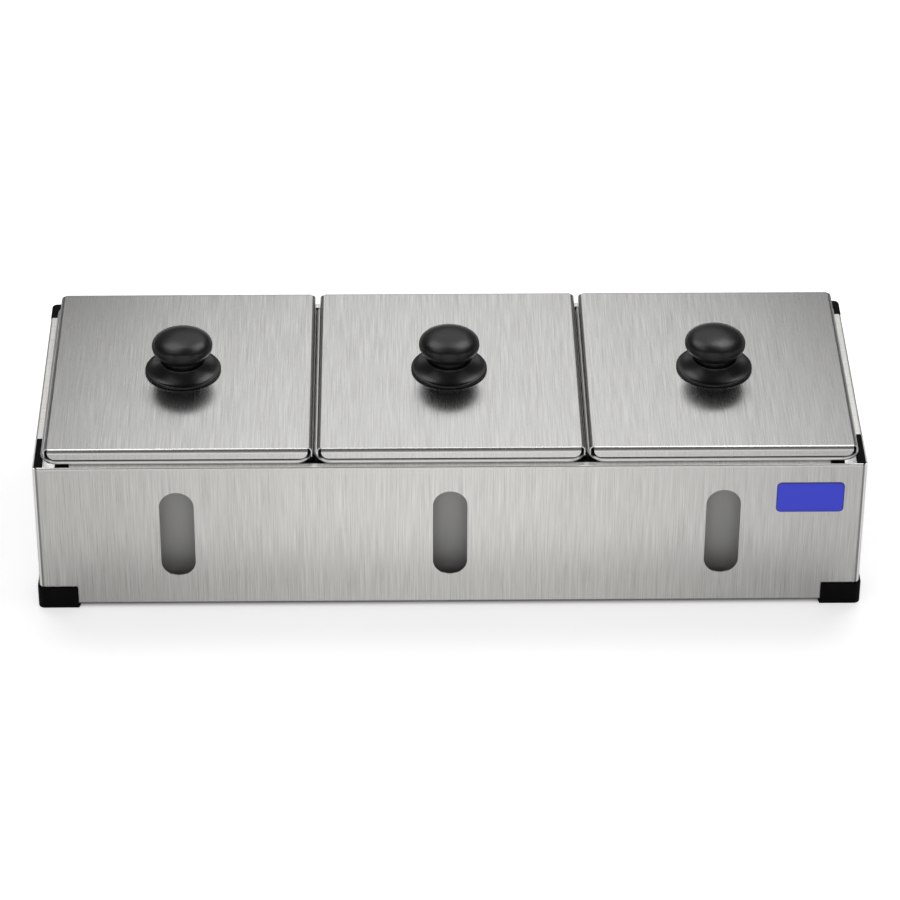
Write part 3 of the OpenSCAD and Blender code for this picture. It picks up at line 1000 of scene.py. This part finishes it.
@dataclass
class Knob:
    """A moulded knob: a flared base, a domed cap on a stem, and the screw up into its insert."""

    side: str
    centre: tuple[float, float, float]
    base_r: float = 23.1 * MM
    base_h: float = 7.6 * MM
    cap_r: float = 18.4 * MM
    height: float = 25.3 * MM
    stem_r: float = 11.9 * MM
    hole_r: float = 2.7 * MM
    base_floor: float = 2.5 * MM
    lip_r: float = 0.9 * MM
    rim_w: float = 1.4 * MM
    rim_r: float = 0.6 * MM
    flare_power: float = 1.6
    gap: float = 0.1 * MM
    dome_h: float = 7.8 * MM
    dome_power: float = 2.4
    bowl_h: float = 7.8 * MM
    bowl_r: float = 7 * MM
    seam_angle: float = -15
    seam_depth: float = 0.25 * MM
    pocket_r: float = 3.8 * MM
    pocket_h: float = 13.9 * MM
    steps: int = 24

    def base_section(self) -> list[tuple[float, float]]:
        """The base's section, from the hole's lower edge out and back."""
        socket = self.stem_r + self.gap
        flare_r = socket + self.rim_w + self.rim_r
        lip_h = 2 * self.lip_r
        rise = self.base_h - self.rim_r - lip_h
        run = flare_r - self.base_r + self.lip_r
        flare = [(self.base_r - self.lip_r + run * k / 24, lip_h + rise * (k / 24) ** self.flare_power)
                 for k in range(1, 25)]
        return ([(self.hole_r, 0)]
                + turn((self.base_r - self.lip_r, self.lip_r), self.lip_r, -90, 90, 12) + flare
                + turn((flare_r - self.rim_r, self.base_h - self.rim_r), self.rim_r, 20, 90, 6)
                + [(socket, self.base_h), (socket, self.base_floor), (self.hole_r, self.base_floor),
                   (self.hole_r, 0)])

    def cap_section(self) -> list[tuple[float, float]]:
        """The cap's section, from its pocket's top out and up to the top of the dome."""
        middle = self.height - self.dome_h
        width = self.cap_r - self.bowl_r
        stem = -math.degrees(math.acos((self.stem_r - self.bowl_r) / width))
        bottom = self.base_floor + self.gap

        def bowl(angle: float, inset: float) -> tuple[float, float]:
            """A point of the bowl.

            Args:
                angle: in degrees, below the bowl's middle.
                inset: how far in from the bowl's curve.

            Returns:
                The radius and height.
            """
            a = math.radians(angle)
            return (self.bowl_r + width * math.cos(a) - inset, middle + self.bowl_h * math.sin(a))

        points = [(0, self.pocket_h), (self.pocket_r, self.pocket_h), (self.pocket_r, bottom),
                  (self.stem_r, bottom)]
        points += [bowl(stem + (self.seam_angle - stem) * k / 20, self.seam_depth * k / 20)
                   for k in range(21)]
        points += [bowl(self.seam_angle * (1 - k / 6), 0) for k in range(6)]
        for k in range(29):
            a = math.pi / 2 * k / 28
            points.append((self.cap_r * max(math.cos(a), 0) ** (2 / self.dome_power),
                           middle + self.dome_h * math.sin(a) ** (2 / self.dome_power)))
        return points

    def turned(self, part: str, section: Iterable[tuple[float, float]], node: str) -> None:
        """One turned plastic part of the knob.

        Args:
            part: the piece's name.
            section: its radii and heights.
            node: the CAD node that it stands for.
        """
        rings = [Ring(-r, r, z) for r, z in section]
        piece = RingLoft.make(part, rings, (0, 0), self.steps, PLASTIC, self.centre)
        smooth(piece, 35)
        settle(piece, PLASTIC, self.side + "_lid", "black_plastic", node)

    def build(self) -> None:
        """Builds the base, the cap and the metal parts, and dresses them."""
        self.turned("knob_base_" + self.side + "_moulding", self.base_section(), "knob_base_" + self.side)
        self.turned("knob_cap_" + self.side + "_moulding", self.cap_section(), "knob_cap_" + self.side)
        for part, finish, slot, edge in (("insert", BRASS, "brass_insert", 0.0),
                                         ("screw", ZINC, "steel_fastener", 0.25 * MM),
                                         ("washer", ZINC, "steel_fastener", 0.15 * MM)):
            node = "knob_" + part + "_" + self.side
            piece = node_copy(node, node + "_metal")
            smooth(piece, 40, edge, 2)
            settle(piece, finish, self.side + "_lid", slot, node)


@dataclass
class Plate:
    """The bare blue plate on the front panel: a darker edge round a domed field."""

    front_y: float
    left: float = 194.5 * MM
    right: float = 234.9 * MM
    top: float = 0.0
    height: float = 21.0 * MM
    corner: float = 3 * MM
    thick: float = 0.5 * MM
    edge_w: float = 0.55 * MM
    edge_cut: float = 0.15 * MM
    field_rise: float = 0.4 * MM
    dome: float = 0.25 * MM
    dome_run: float = 1.1 * MM
    least_corner: float = 0.3 * MM

    def build(self) -> None:
        """Lofts the plate's edge and its field, and sets them on the panel."""
        size = (self.right - self.left, self.height)
        edge = [Ring(0, self.corner, 0), Ring(0, self.corner, self.thick - self.edge_cut),
                Ring(self.edge_cut, self.corner - self.edge_cut, self.thick),
                Ring(self.edge_w, self.corner - self.edge_w, self.thick),
                Ring(self.edge_w, self.corner - self.edge_w, 0), Ring(0, self.corner, 0)]
        inner = self.edge_w
        field_rings = [Ring(inner, self.corner - inner, 0),
                       Ring(inner, self.corner - inner, self.field_rise)]
        for k in range(1, 7):
            a = math.pi / 2 * k / 6
            inset = inner + self.dome_run * (1 - math.cos(a))
            field_rings.append(Ring(inset, max(self.corner - inset, self.least_corner),
                                    self.field_rise + self.dome * math.sin(a)))
        turned = Matrix.Rotation(math.pi / 2, 4, "X")
        place = Matrix.Translation(((self.left + self.right) / 2, self.front_y, self.top - self.height / 2))
        for name, rings, finish in (("plate_edge", edge, PLATE_EDGE),
                                    ("plate_field", field_rings, PLATE_BLUE)):
            piece = RingLoft.make(name, rings, size, 8, finish, (0, 0, 0))
            piece.data.transform(place @ turned)
            smooth(piece, 40)
            settle(piece, finish, "rack", "black_plastic")


# ---------------------------------------------------------------- the studio


class Face(Enum):
    """The outline of a lamp's face."""

    SQUARE = "RECTANGLE"
    ROUND = "ELLIPSE"


@dataclass(frozen=True)
class SoftBox:
    """A soft lamp that faces the object: where it hangs, its width and height, and its face's brightness."""

    name: str
    azimuth: float
    elevation: float
    distance: float
    size: tuple[float, float]
    radiance: float
    face: Face = Face.SQUARE

    def build(self) -> None:
        """Hangs the lamp, its face turned to the object's middle."""
        aim = Vector((0, 0, 0.1))
        az, el = math.radians(self.azimuth), math.radians(self.elevation)
        way = Vector((math.sin(az) * math.cos(el), math.cos(az) * math.cos(el), math.sin(el)))
        data = bpy.data.lights.new(self.name, "AREA")
        data.shape, data.size, data.size_y = self.face.value, self.size[0], self.size[1]
        area = self.size[0] * self.size[1] * (math.pi / 4 if self.face is Face.ROUND else 1)
        data.energy = self.radiance * math.pi * area
        lamp = bpy.data.objects.new(self.name, data)
        lamp.location = aim + way * self.distance
        lamp.rotation_euler = (-way).to_track_quat("-Z", "Y").to_euler()
        lamp.visible_camera = False
        bpy.context.scene.collection.objects.link(lamp)


BOXES = (
    SoftBox("back_box", 1.5, 47, 1.2, (0.88, 0.92), 0.93, Face.ROUND),
    SoftBox("high_box", 0, 68, 1.2, (0.7, 0.36), 0.4),
    SoftBox("back_left_box", -42, 58, 1.2, (0.5, 0.5), 3.2),
    SoftBox("back_right_box", 42, 58, 1.2, (0.5, 0.5), 4.6),
    SoftBox("top_left_box", -85, 62, 1.1, (0.6, 0.5), 1.2),
    SoftBox("top_right_box", 85, 62, 1.1, (0.6, 0.5), 0.9),
    SoftBox("front_left_box", -130, 24, 1.1, (0.35, 0.35), 1.6),
    SoftBox("front_right_box", 130, 24, 1.1, (0.35, 0.35), 1.2),
    SoftBox("front_box", 180, 33, 1.2, (1.0, 0.7), 0.95),
)


@dataclass
class Studio:
    """The floor, the light and the camera."""

    lens: float = 156.065
    camera_at: tuple[float, float, float] = (-0.033644, -1.990812, 1.41546)
    azimuth: float = 1.0054
    elevation: float = 34.4233
    roll: float = -0.2564
    floor_half: float = 6.0
    floor_colour: float = 0.85
    floor_glow: float = 0.5
    pool_glow: float = 0.35
    pool_half: float = 0.34
    far_glow: float = 0.5
    far_y: tuple[float, float] = (-0.7, -0.3)
    cover_x: tuple[float, float] = (0.242, 0.250)
    cover_y: tuple[float, float] = (0.087, 0.093)
    end_glow: float = 2.2
    end_x: tuple[float, float] = (0.18, 0.238)
    end_y: tuple[float, float] = (0.07, 0.084)
    front_sky: tuple[float, ...] = (0.1, 0.3, 0.95, 0.2)
    back_sky: tuple[float, ...] = (0.0, 0.16, 0.85, 0.15)
    sky_change: float = 0.15

    def build(self) -> None:
        """Builds all of it."""
        self.floor()
        self.world()
        for box in BOXES:
            box.build()
        self.camera()

    def floor(self) -> None:
        """A plain white floor with the object's shadow on it.

        It glows for the camera. For the metal it glows more, as a painted pool of light along the middle and
        far in front.
        Under the object it glows only beneath the rack's ends: painted light, so that the floor seen through
        the rack's corners is white.
        """
        mesh = bpy.data.meshes.new("floor")
        half = self.floor_half
        mesh.from_pydata([(-half, -half, 0), (half, -half, 0), (half, half, 0), (-half, half, 0)], [],
                         [(0, 1, 2, 3)])
        sheet = bpy.data.objects.new("floor", mesh)
        bpy.context.scene.collection.objects.link(sheet)
        made = bpy.data.materials.new("white_floor")
        made.use_nodes = True
        graph = Graph(made.node_tree)
        shader = made.node_tree.nodes["Principled BSDF"]
        shader.inputs["Base Color"].default_value = (self.floor_colour,) * 3 + (1,)
        shader.inputs["Roughness"].default_value = 0.9
        shader.inputs["Specular IOR Level"].default_value = 0.1
        path = graph.add("ShaderNodeLightPath").outputs
        place = graph.add("ShaderNodeTexCoord").outputs["Object"]
        split = graph.add("ShaderNodeSeparateXYZ", {0: place}).outputs
        across, along = (graph.math("ABSOLUTE", split[axis]) for axis in ("X", "Y"))
        # A painted pool of light, seen only by the metal: brightest along the middle and far in front.
        pool = graph.ramp(across, 0.0, self.pool_half, self.pool_glow, 0.0)
        under = graph.math("MULTIPLY", graph.ramp(across, *self.cover_x, 1.0, 0.0),
                           graph.ramp(along, *self.cover_y, 1.0, 0.0))
        # Painted light: the floor glows beneath the rack's ends so that it reads white through the corners.
        ends = graph.math("MULTIPLY", graph.ramp(across, *self.end_x, 0.0, self.end_glow),
                          graph.ramp(along, *self.end_y, 1.0, 0.0))
        ends = graph.math("MULTIPLY", under, ends)
        ahead = graph.ramp(split["Y"], *self.far_y, self.far_glow, 0.0)
        pool = graph.math("ADD", pool, ahead)
        metal = graph.math("MAXIMUM", path["Is Glossy Ray"], path["Is Transmission Ray"])
        glow = graph.math("ADD", graph.math("MULTIPLY", path["Is Camera Ray"], self.floor_glow),
                          graph.math("MULTIPLY", metal, pool))
        beside = graph.math("SUBTRACT", 1.0, under)
        glow = graph.math("ADD", ends, graph.math("MULTIPLY", glow, beside))
        shader.inputs["Emission Color"].default_value = (1, 1, 1, 1)
        graph.put(shader.inputs["Emission Strength"], glow)
        mesh.materials.append(made)

    def world(self) -> None:
        """White to the camera. For the metal and plastic, pale low down and in front, and dark overhead."""
        world = bpy.data.worlds.new("studio")
        world.use_nodes = True
        bpy.context.scene.world = world
        graph = Graph(world.node_tree)
        sky = world.node_tree.nodes["Background"]
        way = graph.add("ShaderNodeTexCoord").outputs["Generated"]
        split = graph.add("ShaderNodeSeparateXYZ", {0: way}).outputs
        front = graph.ramp(split["Z"], *self.front_sky)
        back = graph.ramp(split["Z"], *self.back_sky)
        side = graph.ramp(split["Y"], -self.sky_change, self.sky_change, 0.0, 1.0)
        room = graph.math("ADD", graph.math("MULTIPLY", front, graph.math("SUBTRACT", 1.0, side)),
                          graph.math("MULTIPLY", back, side))
        seen = graph.add("ShaderNodeLightPath").outputs["Is Camera Ray"]
        level = graph.math("ADD", seen, graph.math("MULTIPLY", graph.math("SUBTRACT", 1.0, seen), room))
        graph.put(sky.inputs["Strength"], level)
        sky.inputs["Color"].default_value = (1, 1, 1, 1)

    def camera(self) -> None:
        """The camera at the photograph's angle."""
        az, el, roll = (math.radians(v) for v in (self.azimuth, self.elevation, self.roll))
        ahead = Vector((math.sin(az) * math.cos(el), math.cos(az) * math.cos(el), -math.sin(el)))
        right = Vector((math.cos(az), -math.sin(az), 0))
        up = right.cross(ahead)
        c, s = math.cos(roll), math.sin(roll)
        x, y = c * right - s * up, s * right + c * up
        data = bpy.data.cameras.new("camera")
        data.lens, data.sensor_width, data.clip_end = self.lens, 36.0, 50.0
        camera = bpy.data.objects.new("camera", data)
        turned = Matrix((x, y, -ahead)).transposed().to_4x4()
        camera.matrix_world = Matrix.Translation(self.camera_at) @ turned
        bpy.context.scene.collection.objects.link(camera)
        bpy.context.scene.camera = camera


def main() -> None:
    """Builds the caddy piece by piece, then the studio round it."""
    logging.basicConfig(level=logging.INFO, format="%(name)s: %(message)s")
    bpy.context.scene.view_settings.view_transform = "Standard"
    Rack().build()
    for side in SIDES:
        low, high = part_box("pan_" + side)
        Pan(side, (low.x + high.x) / 2, low.z).build()
    for side in SIDES:
        Lid(side).build()
        low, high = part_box("knob_base_" + side)
        Knob(side, ((low.x + high.x) / 2, (low.y + high.y) / 2, low.z)).build()
    low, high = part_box("front_panel")
    Plate(low.y, top=high.z - 12.6 * MM).build()
    Studio().build()


if __name__ == "__main__":
    main()
